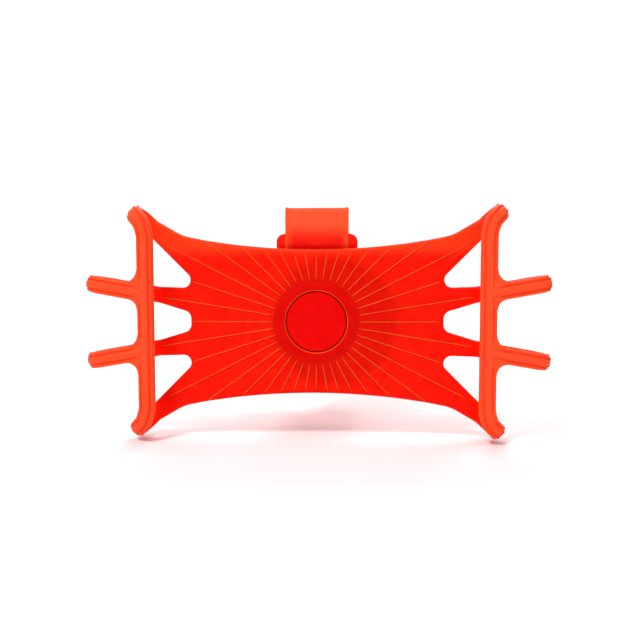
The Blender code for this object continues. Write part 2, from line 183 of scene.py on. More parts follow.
def fillet(corners):
    """A path through (a, b, radius) corners, with each inner corner rounded."""
    points = []
    for i, (a, b, radius) in enumerate(corners):
        here = Vector((a, b))
        if radius == 0.0 or i in (0, len(corners) - 1):
            points.append((a, b))
            continue
        before = (Vector(corners[i - 1][:2]) - here).normalized()
        after = (Vector(corners[i + 1][:2]) - here).normalized()
        half = before.angle(after) / 2.0
        centre = here + (before + after).normalized() * (radius / math.sin(half))
        first = here + before * (radius / math.tan(half)) - centre
        second = here + after * (radius / math.tan(half)) - centre
        start = math.degrees(math.atan2(first.y, first.x))
        turn = math.degrees(math.atan2(first.cross(second), first.dot(second)))
        points.extend(arc(centre, radius, start, start + turn))
    return points


def mirror_up(points):
    """The same points below the first axis, in reverse order."""
    return [(a, -b) for a, b in points][::-1]


def resample(points, step):
    """The same line with points an even step apart."""
    points = np.array(points, float)
    lengths = np.linalg.norm(np.diff(points, axis=0), axis=1)
    keep = np.concatenate([[True], lengths > 1e-6])
    points = points[keep]
    at = np.concatenate([[0.0], np.cumsum(np.linalg.norm(np.diff(points, axis=0), axis=1))])
    stations = np.linspace(0.0, at[-1], max(2, int(round(at[-1] / step)) + 1))
    return np.stack([np.interp(stations, at, points[:, k]) for k in range(points.shape[1])], axis=1)


def relax(points, rounds):
    """The line with its bends eased, its ends kept."""
    points = points.copy()
    for _ in range(rounds):
        points[1:-1] = (points[:-2] + 2.0 * points[1:-1] + points[2:]) / 4.0
    return points


# Closed shells, as bmesh, in millimetres.

def shell(verts, faces):
    """A closed shell with its faces pointing out."""
    shape = bmesh.new()
    made = [shape.verts.new(v) for v in verts]
    for face in faces:
        shape.faces.new([made[i] for i in face])
    bmesh.ops.recalc_face_normals(shape, faces=shape.faces)
    return shape


def sweep(path, outs, sections, closed=False):
    """A shell through one (across, out) section at each point of a path."""
    path = np.array(path, float)
    outs = np.array(outs, float)
    if closed:
        tangents = np.roll(path, -1, axis=0) - np.roll(path, 1, axis=0)
    else:
        tangents = np.gradient(path, axis=0)
    tangents /= np.linalg.norm(tangents, axis=1)[:, None]
    outs -= np.sum(outs * tangents, axis=1)[:, None] * tangents
    outs /= np.linalg.norm(outs, axis=1)[:, None]
    across = np.cross(tangents, outs)
    size = len(sections[0])
    rings = [p + np.outer(s[:, 0], a) + np.outer(s[:, 1], o)
             for p, a, o, s in zip(path, across, outs, sections)]
    faces = []
    count = len(rings)
    for i in range(count if closed else count - 1):
        here, there = i * size, (i + 1) % count * size
        for j in range(size):
            k = (j + 1) % size
            faces.append((here + j, here + k, there + k, there + j))
    if not closed:
        faces.append(tuple(range(size)))
        faces.append(tuple(range((count - 1) * size, count * size)))
    return shell(np.concatenate(rings), faces)


def turned(profile, steps=128):
    """A shell turned about the swivel axis from a closed (radius, back) outline."""
    verts, faces = [], []
    size = len(profile)
    for i in range(steps):
        turn = heading(360.0 * i / steps)
        verts.extend((radius * turn.x, back, radius * turn.y) for radius, back in profile)
    for i in range(steps):
        here, there = i * size, (i + 1) % steps * size
        for j in range(size):
            k = (j + 1) % size
            faces.append((here + j, here + k, there + k, there + j))
    shape = shell(verts, faces)
    bmesh.ops.remove_doubles(shape, verts=shape.verts, dist=1e-5)
    bmesh.ops.recalc_face_normals(shape, faces=shape.faces)
    return shape


def slab(outline, thickness, edge, matrix):
    """A flat outline, extruded to both sides of its plane, with round edges."""
    curve = bpy.data.curves.new("outline", "CURVE")
    curve.dimensions = "2D"
    curve.fill_mode = "BOTH"
    curve.extrude = thickness / 2.0 - edge
    curve.bevel_depth = edge
    curve.bevel_resolution = 3
    curve.offset = -edge
    spline = curve.splines.new("POLY")
    spline.points.add(len(outline) - 1)
    for point, (a, b) in zip(spline.points, outline):
        point.co = (a, b, 0.0, 1.0)
    spline.use_cyclic_u = True
    guide = bpy.data.objects.new("outline", curve)
    bpy.context.scene.collection.objects.link(guide)
    evaluated = guide.evaluated_get(bpy.context.evaluated_depsgraph_get())
    mesh = bpy.data.meshes.new_from_object(evaluated)
    bpy.data.objects.remove(guide)
    shape = bmesh.new()
    shape.from_mesh(mesh)
    bpy.data.meshes.remove(mesh)
    bmesh.ops.remove_doubles(shape, verts=shape.verts, dist=1e-4)
    bmesh.ops.recalc_face_normals(shape, faces=shape.faces)
    shape.transform(matrix)
    return shape


WEB_PLANE = Matrix.Rotation(math.pi / 2.0, 4, "X")
SIDE_PLANE = Matrix.Rotation(math.pi / 2.0, 4, "Z") @ Matrix.Rotation(math.pi / 2.0, 4, "X")


def web_slab(outline, front, back, edge):
    """A slab parallel to the web between two levels behind its front face."""
    middle = Matrix.Translation((0.0, (front + back) / 2.0, 0.0))
    return slab(outline, back - front, edge, middle @ WEB_PLANE)


def gather(shapes):
    """Several shells in one mesh."""
    whole = bmesh.new()
    for shape in shapes:
        piece = bpy.data.meshes.new("piece")
        shape.to_mesh(piece)
        shape.free()
        whole.from_mesh(piece)
        bpy.data.meshes.remove(piece)
    mesh = bpy.data.meshes.new("gathered")
    whole.to_mesh(mesh)
    whole.free()
    return mesh


def evaluate(mesh, set_up):
    """The mesh after the modifiers that set_up adds."""
    obj = bpy.data.objects.new("work", mesh)
    bpy.context.scene.collection.objects.link(obj)
    set_up(obj)
    evaluated = obj.evaluated_get(bpy.context.evaluated_depsgraph_get())
    result = bpy.data.meshes.new_from_object(evaluated)
    bpy.data.objects.remove(obj)
    return result


def cut(mesh, shapes):
    """The mesh with the shells cut away."""
    cutter = bpy.data.objects.new("cutter", gather(shapes))
    bpy.context.scene.collection.objects.link(cutter)

    def set_up(obj):
        modifier = obj.modifiers.new("cut", "BOOLEAN")
        modifier.operation = "DIFFERENCE"
        modifier.solver = "EXACT"
        modifier.use_self = True
        modifier.object = cutter

    result = evaluate(mesh, set_up)
    bpy.data.objects.remove(cutter)
    return result


def mould(mesh, voxel, softening, keep):
    """Overlapping shells made into one moulded body with soft edges and a thinned mesh."""

    def set_up(obj):
        fuse = obj.modifiers.new("fuse", "REMESH")
        fuse.mode = "VOXEL"
        fuse.voxel_size = voxel
        soften = obj.modifiers.new("soften", "SMOOTH")
        soften.factor = 0.5
        soften.iterations = softening
        thin = obj.modifiers.new("thin", "DECIMATE")
        thin.ratio = keep

    return evaluate(mesh, set_up)


REST_PLACE = "rest_place"
HARD_EDGE = math.radians(50.0)
SLOT_EDGE = math.radians(55.0)


def finish_piece(name, mesh, materials):
    """A named object in the frame from a mesh in millimetres, which keeps each point's place at rest."""
    mesh.transform(TO_FRAME)
    mesh.name = name
    places = np.empty(len(mesh.vertices) * 3, np.float32)
    mesh.vertices.foreach_get("co", places)
    mesh.attributes.new(REST_PLACE, "FLOAT_VECTOR", "POINT").data.foreach_set("vector", places)
    for material in materials:
        mesh.materials.append(material)
    mesh.shade_smooth()
    obj = bpy.data.objects.new(name, mesh)
    bpy.context.scene.collection.objects.link(obj)
    return obj


# Materials.

def new_material(name):
    """A new material with its node tree and shader."""
    material = bpy.data.materials.new(name)
    material.use_nodes = True
    tree = material.node_tree
    return material, tree, tree.nodes["Principled BSDF"]


def add_noise(tree, scale, detail, roughness=0.5):
    """A noise pattern in the piece's own coordinates; scale is in features a metre."""
    coordinates = tree.nodes.new("ShaderNodeTexCoord")
    noise = tree.nodes.new("ShaderNodeTexNoise")
    noise.inputs["Scale"].default_value = scale
    noise.inputs["Detail"].default_value = detail
    noise.inputs["Roughness"].default_value = roughness
    tree.links.new(coordinates.outputs["Object"], noise.inputs["Vector"])
    return noise.outputs["Fac"]


def add_ramp(tree, source, stops):
    """A colour ramp between two (position, colour) stops."""
    ramp = tree.nodes.new("ShaderNodeValToRGB")
    tree.links.new(source, ramp.inputs["Fac"])
    for element, (position, colour) in zip(ramp.color_ramp.elements, stops):
        element.position = position
        element.color = (*colour, 1.0)
    return ramp.outputs["Color"]


def add_range(tree, source, low, high):
    """The middle of a noise pattern stretched between two values."""
    spread = tree.nodes.new("ShaderNodeMapRange")
    spread.inputs["From Min"].default_value = 0.35
    spread.inputs["From Max"].default_value = 0.65
    spread.inputs["To Min"].default_value = low
    spread.inputs["To Max"].default_value = high
    tree.links.new(source, spread.inputs["Value"])
    return spread.outputs["Result"]


def add_bump(tree, shader, source, strength, distance):
    """A fine relief on the shader's surface; distance is in metres."""
    bump = tree.nodes.new("ShaderNodeBump")
    bump.inputs["Strength"].default_value = strength
    bump.inputs["Distance"].default_value = distance
    tree.links.new(source, bump.inputs["Height"])
    tree.links.new(bump.outputs["Normal"], shader.inputs["Normal"])


def add_fade(tree, source, start, end):
    """A smooth change from 0 to 1 as the source goes from start to end."""
    fade = tree.nodes.new("ShaderNodeMapRange")
    fade.interpolation_type = "SMOOTHSTEP"
    fade.inputs["From Min"].default_value = start
    fade.inputs["From Max"].default_value = end
    tree.links.new(source, fade.inputs["Value"])
    return fade.outputs["Result"]


def add_rest_place(tree):
    """Each point's place in the frame at rest, so that a shade stays on the part of a piece that bends."""
    place = tree.nodes.new("ShaderNodeAttribute")
    place.attribute_name = REST_PLACE
    return place.outputs["Vector"]


def add_level(tree, axis, start, end, both_ways=False):
    """A fade along one axis of the frame, or away from the middle both ways."""
    split = tree.nodes.new("ShaderNodeSeparateXYZ")
    tree.links.new(add_rest_place(tree), split.inputs["Vector"])
    source = split.outputs[axis]
    if both_ways:
        size = tree.nodes.new("ShaderNodeMath")
        size.operation = "ABSOLUTE"
        tree.links.new(source, size.inputs[0])
        source = size.outputs["Value"]
    return add_fade(tree, source, start, end)


def add_disc(tree, centre, start, end):
    """A fade with the distance from a line parallel to the swivel axis."""
    shift = tree.nodes.new("ShaderNodeVectorMath")
    shift.operation = "SUBTRACT"
    shift.inputs[1].default_value = centre
    flatten = tree.nodes.new("ShaderNodeVectorMath")
    flatten.operation = "MULTIPLY"
    flatten.inputs[1].default_value = (1.0, 0.0, 1.0)
    length = tree.nodes.new("ShaderNodeVectorMath")
    length.operation = "LENGTH"
    tree.links.new(add_rest_place(tree), shift.inputs[0])
    tree.links.new(shift.outputs["Vector"], flatten.inputs[0])
    tree.links.new(flatten.outputs["Vector"], length.inputs[0])
    return add_fade(tree, length.outputs["Value"], start, end)


def add_mix(tree, factor, colour, other, blend="MIX"):
    """The colour mixed with another one by a factor."""
    mix = tree.nodes.new("ShaderNodeMix")
    mix.data_type = "RGBA"
    mix.blend_type = blend
    tree.links.new(factor, mix.inputs["Factor"])
    tree.links.new(colour, mix.inputs["A"])
    mix.inputs["B"].default_value = (*other, 1.0)
    return mix.outputs["Result"]


def silicone(name, deep, light, roughness, gloss_level, paint_light_and_shade=None):
    """Translucent moulded silicone: mottled colour, uneven gloss and a fine moulded grain."""
    material, tree, shader = new_material(name)
    mottle = add_noise(tree, scale=260.0, detail=4.0)
    colour = add_ramp(tree, mottle, [(0.3, deep), (0.7, light)])
    # Optional painted light and shade, mixed into the colour by position.
    if paint_light_and_shade:
        colour = paint_light_and_shade(tree, colour)
    tree.links.new(colour, shader.inputs["Base Color"])
    smears = add_noise(tree, scale=700.0, detail=3.0)
    gloss = add_range(tree, smears, low=roughness - 0.07, high=roughness + 0.09)
    tree.links.new(gloss, shader.inputs["Roughness"])
    grain = add_noise(tree, scale=5200.0, detail=5.0, roughness=0.6)
    add_bump(tree, shader, grain, strength=0.22, distance=0.00004)
    shader.inputs["IOR"].default_value = 1.41
    shader.inputs["Specular IOR Level"].default_value = gloss_level
    shader.inputs["Subsurface Weight"].default_value = 0.35
    shader.inputs["Subsurface Radius"].default_value = (1.0, 0.22, 0.08)
    shader.inputs["Subsurface Scale"].default_value = 0.0016
    return material


# Colours of painted light and shade, mixed into the silicone by position: the dish and hub colours darken,
# the rest are paler painted light.
DISH_SHADE = (0.84, 0.6, 0.6)
DISH_SHADE_OFFSET = 5.0
HUB_SHADE = (0.92, 0.3, 0.4)
UPPER_EDGE_PAINTED_LIGHT = (1.0, 0.045, 0.008)
THIN_LOOP_PAINTED_LIGHT = (1.0, 0.042, 0.01)
BAND_PAINTED_LIGHT = (1.0, 0.085, 0.024)
STRAP_SIDE_PAINTED_LIGHT = (1.0, 0.08, 0.012)
STRAP_TOP_PAINTED_LIGHT = (1.0, 0.1, 0.03)


def paint_cradle_light_and_shade(tree, colour):
    """Painted shade and light: darker with a painted shadow of the dish behind the web and painted shade on
    the hub, paler with painted light along the upper edge, on the thin loops and on the bands.
    """
    # Painted shadow of the dish behind the web, shifted to one side as if cast by light from the left.
    dish_centre = (AXIS.x + DISH_SHADE_OFFSET * MM, 0.0, AXIS.z)
    behind = add_disc(tree, dish_centre, start=18.5 * MM, end=15.5 * MM)
    colour = add_mix(tree, behind, colour, DISH_SHADE, "MULTIPLY")
    # Painted shade on the hub ring round the cap.
    hub = add_disc(tree, tuple(AXIS), start=12.6 * MM, end=9.8 * MM)
    colour = add_mix(tree, hub, colour, HUB_SHADE, "MULTIPLY")
    # Painted light along the upper edge, where light from above falls on its round.
    edge = add_level(tree, "Z", start=AXIS.z + 16.8 * MM, end=AXIS.z + 20.6 * MM)
    colour = add_mix(tree, edge, colour, UPPER_EDGE_PAINTED_LIGHT)
    # Painted light on the thin outer loops, which light from above and through the thin silicone makes
    # paler.
    thin = add_level(tree, "X", start=42.0 * MM, end=52.0 * MM, both_ways=True)
    colour = add_mix(tree, thin, colour, THIN_LOOP_PAINTED_LIGHT)
    # Painted light on the bands in front of the web, which light from above and through the thin silicone
    # makes paler.
    bands = add_level(tree, "Y", start=WEB_FRONT - 1.0 * MM, end=WEB_FRONT - 5.0 * MM)
    return add_mix(tree, bands, colour, BAND_PAINTED_LIGHT)


def paint_strap_light(tree, colour):
    """Painted light along the thin sides, and painted light where the strap stands clear of the web and
    light from above reaches it.
    """
    half = STRAP_WIDTH / 2.0 * MM
    # Painted light along both thin sides, standing for their bright rims.
    sides = add_level(tree, "X", start=half - 2.6 * MM, end=half, both_ways=True)
    colour = add_mix(tree, sides, colour, STRAP_SIDE_PAINTED_LIGHT)
    # Painted light on the upper part, which light from above reaches; lower down, near the web, it stays
    # deep red as in shade.
    clear = add_level(tree, "Z", start=AXIS.z + 21.8 * MM, end=AXIS.z + 27.4 * MM)
    return add_mix(tree, clear, colour, STRAP_TOP_PAINTED_LIGHT)


def plastic():
    """Moulded red plastic with faint flow marks."""
    material, tree, shader = new_material("swivel_plastic")
    flow = add_noise(tree, scale=420.0, detail=3.0)
    colour = add_ramp(tree, flow, [(0.3, (0.55, 0.02, 0.012)), (0.7, (0.7, 0.035, 0.02))])
    tree.links.new(colour, shader.inputs["Base Color"])
    tree.links.new(add_range(tree, flow, low=0.28, high=0.42), shader.inputs["Roughness"])
    grain = add_noise(tree, scale=3000.0, detail=3.0)
    add_bump(tree, shader, grain, strength=0.15, distance=0.00002)
    return material


def zinc():
    """Zinc plated steel with small crystals and uneven gloss."""
    material, tree, shader = new_material("zinc_steel")
    crystals = tree.nodes.new("ShaderNodeTexVoronoi")
    crystals.inputs["Scale"].default_value = 1800.0
    coordinates = tree.nodes.new("ShaderNodeTexCoord")
    tree.links.new(coordinates.outputs["Object"], crystals.inputs["Vector"])
    colour = add_ramp(tree, crystals.outputs["Distance"],
                      [(0.0, (0.66, 0.66, 0.68)), (1.0, (0.5, 0.5, 0.52))])
    tree.links.new(colour, shader.inputs["Base Color"])
    smears = add_noise(tree, scale=900.0, detail=4.0)
    tree.links.new(add_range(tree, smears, low=0.24, high=0.4), shader.inputs["Roughness"])
    grain = add_noise(tree, scale=6000.0, detail=2.0)
    add_bump(tree, shader, grain, strength=0.15, distance=0.00001)
    shader.inputs["Metallic"].default_value = 1.0
    return material


# The cradle.

def finger_section(ridge):
    """Section of a finger or rail: bevelled band, with a raised middle on its outer face."""
    half, thick = LOOP_WIDTH / 2.0, BAND_THICK / 2.0
    side = [(0.6, thick), (0.8, thick - 0.1 * ridge), (0.98, thick - 0.9 * ridge),
            (1.26, thick - 0.9 * ridge), (1.5, thick - 0.35 * ridge),
            (half - 0.38, thick - 0.15 - 0.3 * ridge), (half - 0.1, thick - 0.85), (half, 0.2),
            (half, -0.5), (half - 0.75, -thick)]
    return np.array([(-a, b) for a, b in side] + side[::-1])


def loop_route(root, along, length, level, start, tail):
    """Middle line of a finger from the web round its tip, with its outward directions."""
    turn_at = length - TURN_RADIUS - BAND_THICK / 2.0
    flat = [(start, -WEB_THICK / 2.0), (0.0, -WEB_THICK / 2.0)]
    flat.extend(arc((turn_at, level), TURN_RADIUS, -90.0, 90.0))
    outs = [(0.0, -1.0), (0.0, -1.0)] + arc((0.0, 0.0), 1.0, -90.0, 90.0)
    flat.extend(tail)
    outs.extend([(0.0, 1.0)] * len(tail))
    path = [(root.x + along.x * s, -forward, root.y + along.y * s) for s, forward in flat]
    outward = [(along.x * s, -forward, along.y * s) for s, forward in outs]
    return path, outward


def swept_band(path, outs):
    """A finger band along a route, its raised middle fading on the rear side."""
    line = resample(np.hstack([path, outs]), step=0.45)
    points = relax(line[:, :3], rounds=3)
    outward = line[:, 3:]
    ridges = np.clip((0.55 - outward[:, 1]) / 0.5, 0.0, 1.0)
    return sweep(points, outward, [finger_section(r) for r in ridges])


def round_tip(shape, root, along, length):
    """Round a finger's end as seen from the front."""
    across = Vector((-along.y, along.x))
    half = LOOP_WIDTH / 2.0
    for vert in shape.verts:
        place = Vector((vert.co.x, vert.co.z)) - root
        over = place.dot(along) - (length - TIP_CORNER)
        side = place.dot(across)
        if over > 0.0 and abs(side) < LOOP_WIDTH:
            room = half - TIP_CORNER + math.sqrt(max(0.0, TIP_CORNER ** 2 - min(over, TIP_CORNER) ** 2))
            shift = across * (side * (room / half - 1.0))
            vert.co.x += shift.x
            vert.co.z += shift.y


def flash(root, along, length, level):
    """Torn lobes of moulding flash along the parting line at a finger's end."""
    across = Vector((-along.y, along.x))
    half = LOOP_WIDTH / 2.0
    lobes = []
    for k in range(5):
        side = (-0.84 + 0.42 * k) * half
        past = max(0.0, abs(side) - (half - TIP_CORNER))
        reach = length - TIP_CORNER + math.sqrt(max(0.0, TIP_CORNER ** 2 - past ** 2))
        place = root + along * (reach - 0.1) + across * side
        lobe = bmesh.new()
        bmesh.ops.create_icosphere(lobe, subdivisions=2, radius=0.46 + 0.04 * (k % 2))
        flatten = Matrix.Diagonal((1.0, 0.75, 1.0, 1.0))
        lobe.transform(Matrix.Translation((place.x, -level, place.y)) @ flatten)
        lobes.append(lobe)
    return lobes


def corner_fill(corner, first, second, radius):
    """The concave fillet plate between two edges that leave a corner."""
    bisector = (first + second).normalized()
    half = first.angle(second) / 2.0
    reach = radius / math.tan(half)
    centre = corner + bisector * (radius / math.sin(half))
    start, end = corner + first * reach - centre, corner + second * reach - centre
    angle = math.degrees(math.atan2(start.y, start.x))
    turn = math.degrees(math.atan2(start.cross(end), start.dot(end)))
    inset = bisector * -FILL_INSET
    outline = arc(centre, radius, angle, angle + turn)
    outline.append(tuple(corner + second * reach + inset))
    outline.append(tuple(corner + inset * 1.5))
    outline.append(tuple(corner + first * reach + inset))
    front = -RAIL_FRONT - BAND_THICK / 2.0 + 0.4
    return web_slab(outline, front, -RAIL_FRONT + BAND_THICK / 2.0, 0.3)


def edge_up(x):
    """Half height of the web at x along its concave long edge."""
    return WEB_WAIST + WEB_FLARE * (x / FLARE_END) ** 2


CORNER_ALONG = heading(CORNER_ANGLE)
CORNER_ROOT = CORNER_TIP - CORNER_ALONG * CORNER_LENGTH
MIDDLE_ALONG = heading(MIDDLE_ANGLE)


def web_outline():
    """The right half of the web, from its upper edge round the notches to its lower edge."""
    across = Vector((-CORNER_ALONG.y, CORNER_ALONG.x))
    end = CORNER_ROOT + CORNER_ALONG * 2.4
    outer = end + across * (LOOP_WIDTH / 2.0)
    inner = end - across * (LOOP_WIDTH / 2.0)
    upper = [(-SEAM_OVERLAP, edge_up(0.0))] + [(x, edge_up(x)) for x in np.linspace(0.0, 24.0, 9)]
    upper += fillet([(FLARE_END, edge_up(FLARE_END), 0), (36.4, 23.3, 12.0), (*outer, 0)])
    upper += fillet([(*inner, 0), (31.4, 9.1, 2.05), (43.0, 9.5, 0),
                     (43.0, 5.05, 0), (34.4, 2.4, 2.2), (34.4, 0.0, 0)])
    hub = math.degrees(math.acos(-SEAM_OVERLAP / HUB_HOLE))
    return upper[:-1] + mirror_up(upper[:-1]) + arc((0.0, 0.0), HUB_HOLE, -hub, hub)


def ray_reach(outline, turn, margin):
    """How far a ray from the swivel axis goes inside the outline, less a margin."""
    along = heading(turn)
    reach = HALF_LENGTH
    for first, second in zip(outline, outline[1:] + outline[:1]):
        a, b = Vector(first), Vector(second)
        if max(a.length, b.length) < RAY_START:
            continue
        cross_a, cross_b = along.cross(a), along.cross(b)
        if cross_a * cross_b > 0.0 or cross_a == cross_b:
            continue
        hit = a.lerp(b, cross_a / (cross_a - cross_b)).dot(along)
        if hit > RAY_START:
            reach = min(reach, hit)
    return reach - margin


def ray(turn, end):
    """One fine raised ray on the web's front face, thin at both ends."""
    along = heading(turn)
    stations = np.linspace(RAY_START, end, 24)
    taper = np.clip(np.minimum(stations - RAY_START, end - stations) / 1.2, 0.0, 1.0)
    path = [(along.x * s, 0.0, along.y * s) for s in stations]
    sections = []
    for t in taper:
        wide, high = 0.06 + 0.08 * t, 0.02 + 0.16 * t
        sections.append(np.array([(-wide, -0.25), (-wide, high * 0.35), (-wide * 0.5, high),
                                  (wide * 0.5, high), (wide, high * 0.35), (wide, -0.25)]))
    return sweep(path, [(0.0, -1.0, 0.0)] * len(path), sections)


def cradle_shells(outline):
    """Overlapping shells of the right half of the cradle."""
    shells = [web_slab(outline, 0.0, WEB_THICK, WEB_EDGE)]
    corner_length = CORNER_LENGTH - FLASH_REACH
    middle_length = MIDDLE_LENGTH - FLASH_REACH
    half = LOOP_WIDTH / 2.0
    rail_edge = RAIL_X + half

    # One band is both corner loops and the rail between them.
    path, outs = loop_route(CORNER_ROOT, CORNER_ALONG, corner_length, CORNER_LOOP_LEVEL, start=-6.0, tail=[])
    path += [(RAIL_X, -RAIL_FRONT, 23.0), (RAIL_X, -RAIL_FRONT, 12.0)]
    outs += [(0.0, -1.0, 0.0)] * 2
    path += [(x, back, -up) for x, back, up in path[::-1]]
    outs += [(x, back, -up) for x, back, up in outs[::-1]]
    rail = swept_band(path, outs)
    for up in (1, -1):
        root = Vector((CORNER_ROOT.x, up * CORNER_ROOT.y))
        along = Vector((CORNER_ALONG.x, up * CORNER_ALONG.y))
        round_tip(rail, root, along, corner_length)
        shells += flash(root, along, corner_length, CORNER_LOOP_LEVEL)
        across = Vector((along.y, -along.x)) * up
        start = root + across * half
        corner = start + along * ((rail_edge - start.x) / along.x)
        shells.append(corner_fill(corner, along, Vector((0.0, -up)), CORNER_FILLET))

        root = Vector((MIDDLE_ROOT.x, up * MIDDLE_ROOT.y))
        along = Vector((MIDDLE_ALONG.x, up * MIDDLE_ALONG.y))
        front_end = (RAIL_X - root.x) / along.x
        path, outs = loop_route(root, along, middle_length, MIDDLE_LOOP_LEVEL, start=-5.0,
                                tail=[(front_end + 3.0, RAIL_FRONT), (front_end, RAIL_FRONT)])
        finger = swept_band(path, outs)
        round_tip(finger, root, along, middle_length)
        shells.append(finger)
        shells += flash(root, along, middle_length, MIDDLE_LOOP_LEVEL)
        for side, radius in MIDDLE_FILLETS:
            across = Vector((-along.y, along.x)) * side
            start = root + across * half
            corner = start + along * ((rail_edge - start.x) / along.x)
            rail_way = Vector((0.0, math.copysign(1.0, across.y)))
            shells.append(corner_fill(corner, along, rail_way, radius))
    shells.append(rail)
    return shells


def split_at_seam(mesh):
    """The part of the mesh at x above zero, closed with a flat face whose rim shades sharp."""
    shape = bmesh.new()
    shape.from_mesh(mesh)
    geometry = shape.verts[:] + shape.edges[:] + shape.faces[:]
    result = bmesh.ops.bisect_plane(shape, geom=geometry, dist=1e-5, plane_co=(0.0, 0.0, 0.0),
                                    plane_no=(1.0, 0.0, 0.0), clear_inner=True)
    rim = [e for e in result["geom_cut"] if isinstance(e, bmesh.types.BMEdge)]
    bmesh.ops.holes_fill(shape, edges=rim, sides=0)
    for edge in rim:
        edge.smooth = False
    half = bpy.data.meshes.new("half")
    shape.to_mesh(half)
    shape.free()
    return half


def add_rays(mesh, rays, mirrored):
    """The half cradle with its rays in a second, paler material that paints their highlight, mirrored for
    the left side.
    """
    shape = bmesh.new()
    shape.from_mesh(mesh)
    plain = len(shape.faces)
    shape.from_mesh(rays)
    shape.faces.ensure_lookup_table()
    for face in shape.faces:
        face.material_index = 1 if face.index >= plain else 0
    if mirrored:
        shape.transform(Matrix.Diagonal((-1.0, 1.0, 1.0, 1.0)))
        bmesh.ops.reverse_faces(shape, faces=shape.faces)
    whole = bpy.data.meshes.new("half_cradle")
    shape.to_mesh(whole)
    shape.free()
    return whole


def build_cradle(skin, ray_highlight_skin):
    """Both stretchy halves of the cradle."""
    outline = web_outline()
    half = split_at_seam(mould(gather(cradle_shells(outline)), *CRADLE_MOULD))
    turns = [RAY_PITCH * k for k in range(-9, 10)]
    rays = gather([ray(turn, min(LONGEST_RAY, ray_reach(outline, turn, margin=1.0))) for turn in turns])
    for side, label in ((-1, "left"), (1, "right")):
        obj = finish_piece(f"{label}_cradle_half", add_rays(half, rays, side < 0), [skin, ray_highlight_skin])
        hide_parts(f"{label}_retaining_rail", *[
            f"{label}_{level}_{kind}_loop" for level in ("upper", "lower") for kind in ("corner", "middle")])
        if side > 0:
            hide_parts("cradle_web")
        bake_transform(obj)


def build_hub(skin, ray_highlight_skin):
    """The hub ring round the cap, with the two rays on the seam and a painted highlight on its inner rim in
    the rays' material.
    """
    rim = HUB_BORE + 0.22
    profile = fillet([(5.5, 2.95, 0), (5.5, 1.9, 0), (HUB_BORE, 1.9, 0), (HUB_BORE, 0.0, 0),
                      (rim, -HUB_HEIGHT, 0.1), (9.4, -HUB_HEIGHT, 1.2), (HUB_FOOT, 0.03, 0.0),
                      (HUB_FOOT, 0.6, 0), (HUB_HOLE - 0.3, 0.6, 0), (HUB_HOLE - 0.3, 2.95, 0)])
    ray_end = edge_up(0.0) - 1.3
    mesh = gather([turned(profile), ray(90.0, ray_end), ray(-90.0, ray_end)])
    # The rays and the inner rim take the paler material, a painted highlight.
    for polygon in mesh.polygons:
        radius = math.hypot(polygon.center.x, polygon.center.z)
        on_rim = HUB_BORE + 0.01 < radius < rim + 0.03 and -HUB_HEIGHT < polygon.center.y < -0.02
        polygon.material_index = 1 if radius > HUB_FOOT + 0.1 or on_rim else 0
    obj = finish_piece("web_hub", mesh, [skin, ray_highlight_skin])
    obj.data.set_sharp_from_angle(angle=HARD_EDGE)
    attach(obj, "cradle")


# The swivel.

def build_swivel(cap_skin, skin):
    """Cap and turntable dish with finely turned surfaces."""
    cap = fillet([(0.0, 0.55, 0), (0.0, -0.1, 0), (5.2, -0.14, 6.0), (7.2, -0.24, 1.5),
                  (CAP_RADIUS, -0.16, 0.12), (CAP_RADIUS, 0.55, 0)])
    obj = finish_piece("smooth_cap", gather([turned(cap)]), [cap_skin])
    obj.data.set_sharp_from_angle(angle=HARD_EDGE)
    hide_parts("swivel_cap")
    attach(obj, "base")

    dish = fillet([(7.3, 5.3, 0), (7.3, 3.4, 0), (15.9, 3.4, 1.1), (15.9, 5.6, 0.5), (14.7, 8.3, 0.7),
                   (3.85, 8.3, 0), (3.85, 5.3, 0)])
    obj = finish_piece("round_dish", gather([turned(dish)]), [skin])
    obj.data.set_sharp_from_angle(angle=HARD_EDGE)
    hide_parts("turntable_dish")
    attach(obj, "base")


# Saddle, liner and strap, swept in the side plane (back, up).

def side_route(flat, side, step=0.5):
    """A route in the side plane with its outward directions, to the left (1) or right (-1)."""
    line = relax(resample(flat, step), rounds=1)
    along = np.gradient(line, axis=0)
    along /= np.linalg.norm(along, axis=1)[:, None]
    path = np.stack([np.zeros(len(line)), line[:, 0], line[:, 1]], axis=1)
    outs = np.stack([np.zeros(len(line)), -along[:, 1] * side, along[:, 0] * side], axis=1)
    return path, outs


def band_section(width, inner, outer, rim_width, rim_height, edge):
    """Section of a band between two levels, with a raised rim along each side."""
    half = width / 2.0
    side = [(half - edge, outer), (half - 0.3 * edge, outer - 0.3 * edge), (half, outer - edge),
            (half, inner + edge), (half - 0.3 * edge, inner + 0.3 * edge), (half - edge, inner)]
    face = [(half - rim_width - 0.25, outer - rim_height), (half - rim_width, outer)]
    right = face + side
    left = [(-a, b) for a, b in right][::-1]
    return np.array(right + left)


def corner_losses(path, radius, at_start, at_end):
    """How much narrower each side is at each point of a path whose end corners are rounded."""
    steps = np.linalg.norm(np.diff(path, axis=0), axis=1)
    at = np.concatenate([[0.0], np.cumsum(steps)])
    room = np.full(len(at), 1e9)
    if at_start:
        room = np.minimum(room, at)
    if at_end:
        room = np.minimum(room, at[-1] - at)
    short = np.clip(radius - room, 0.0, radius)
    return radius - np.sqrt(np.maximum(0.0, radius ** 2 - short ** 2))


def swept_strip(path, outs, section, losses):
    """A band whose width is less by a loss on both sides at each station."""
    half = np.abs(section[:, 0]).max()
    sections = []
    for loss in losses:
        scaled = section.copy()
        scaled[:, 0] *= (half - loss) / half
        sections.append(scaled)
    return sweep(path, outs, sections)


